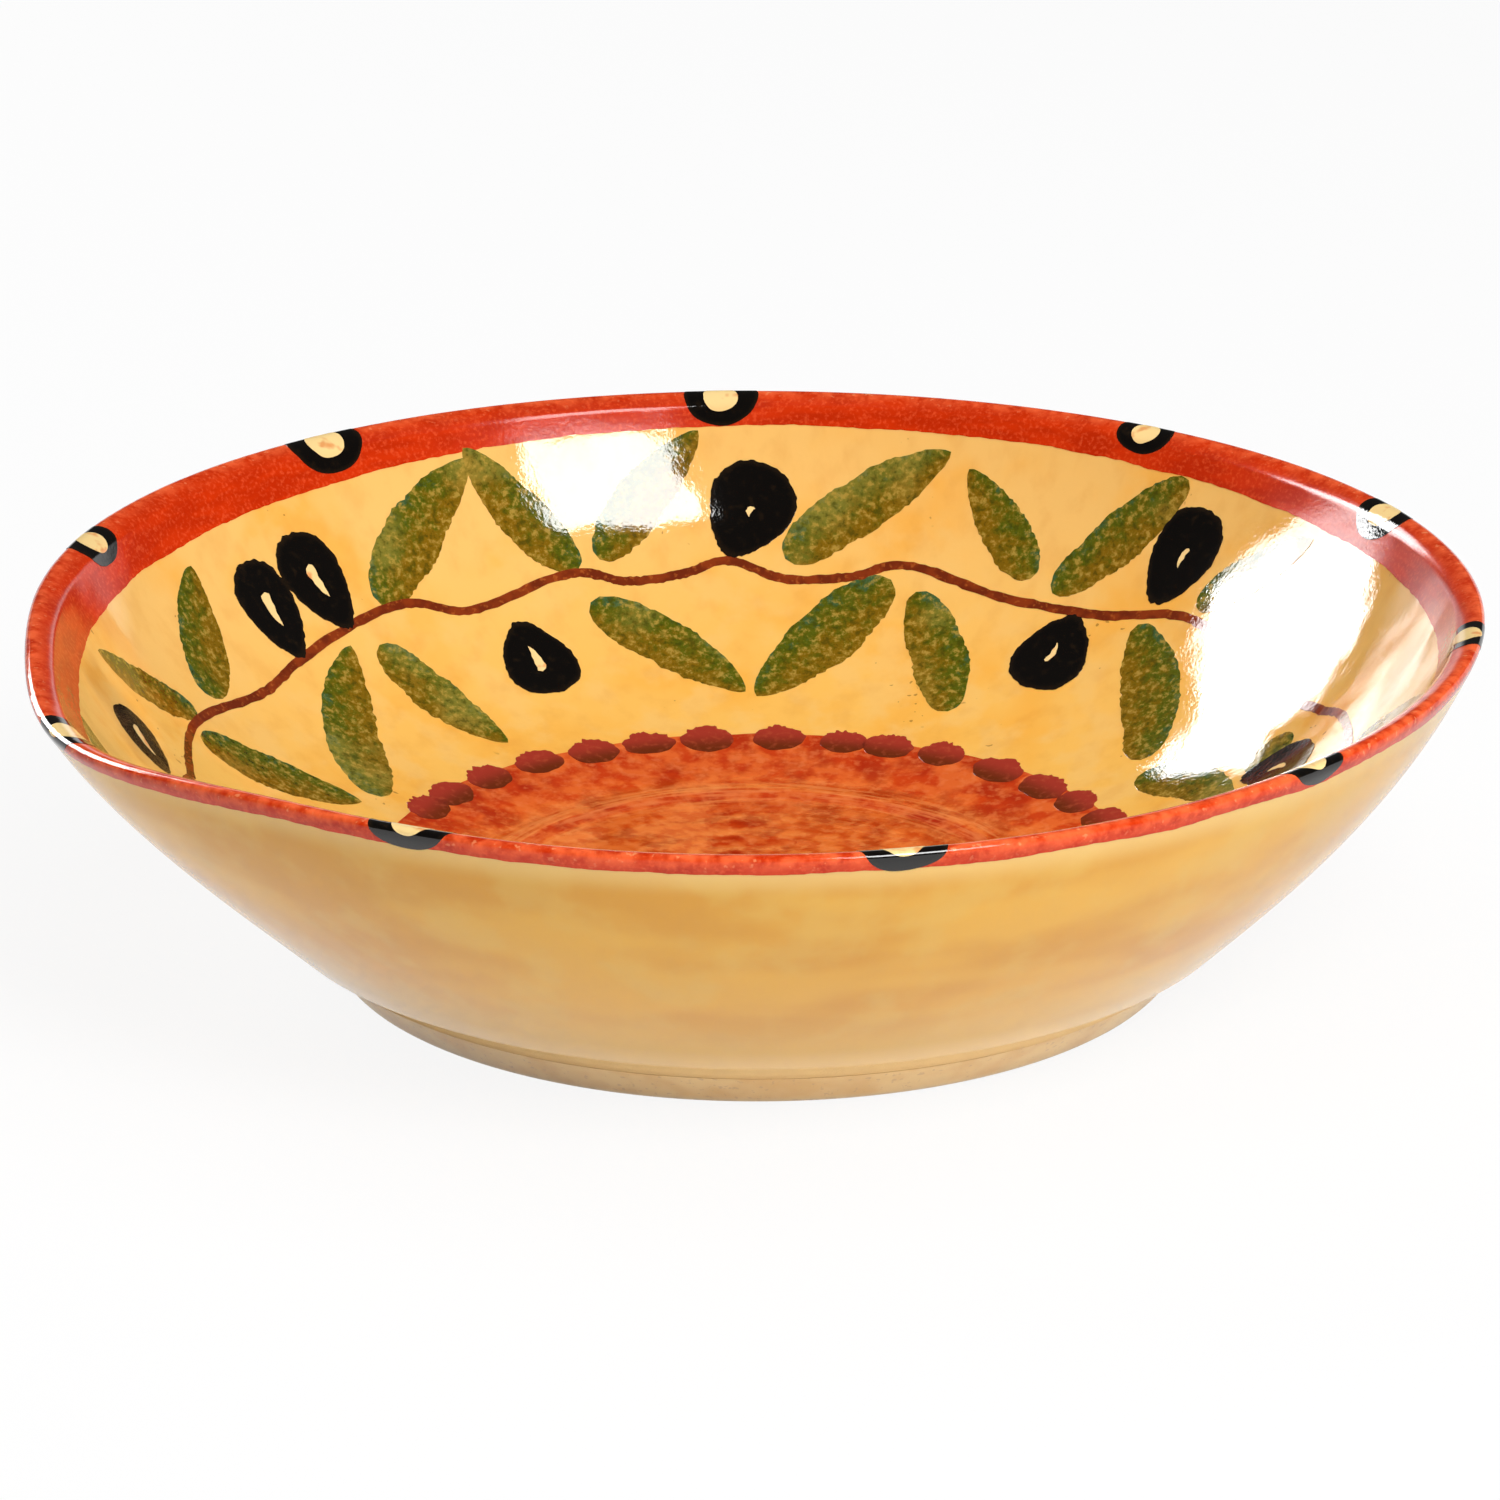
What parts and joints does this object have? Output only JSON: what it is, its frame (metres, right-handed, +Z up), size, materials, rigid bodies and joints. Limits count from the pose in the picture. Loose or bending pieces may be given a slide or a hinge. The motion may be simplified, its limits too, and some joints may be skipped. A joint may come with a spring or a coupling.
{
  "type": "serving bowl",
  "caption": "Wide low glazed earthenware serving bowl with a rounded lip, flaring wall, flat floor and foot ring, painted with an olive branch inside.",
  "frame": {"origin": "middle of the foot ring's resting face, on the surface that the bowl stands on", "axes": "+Z up out of the bowl's mouth, +X to the right and +Y away from the viewer as the picture shows it"},
  "size_m": [0.3052, 0.2967, 0.0783],
  "materials": {
    "bare_clay": "matt fired clay",
    "foot_glaze": "thin satin glaze",
    "honey_glaze": "glossy honey glaze",
    "yellow_glaze": "glossy yellow glaze",
    "red_band": "glossy brick red glaze",
    "red_disc": "glossy brushed red glaze",
    "leaf_paint": "sponged olive green under gloss",
    "olive_paint": "black brown under gloss",
    "stem_paint": "red brown line under gloss",
    "dab_paint": "dark red finger dabs under gloss"
  },
  "bodies": {
    "root": {"clay_body": "bare_clay", "foot_ring": "foot_glaze", "outer_glaze": "honey_glaze", "inner_glaze": "yellow_glaze", "rim_band": "red_band", "centre_disc": "red_disc"}
  },
  "joints": []
}
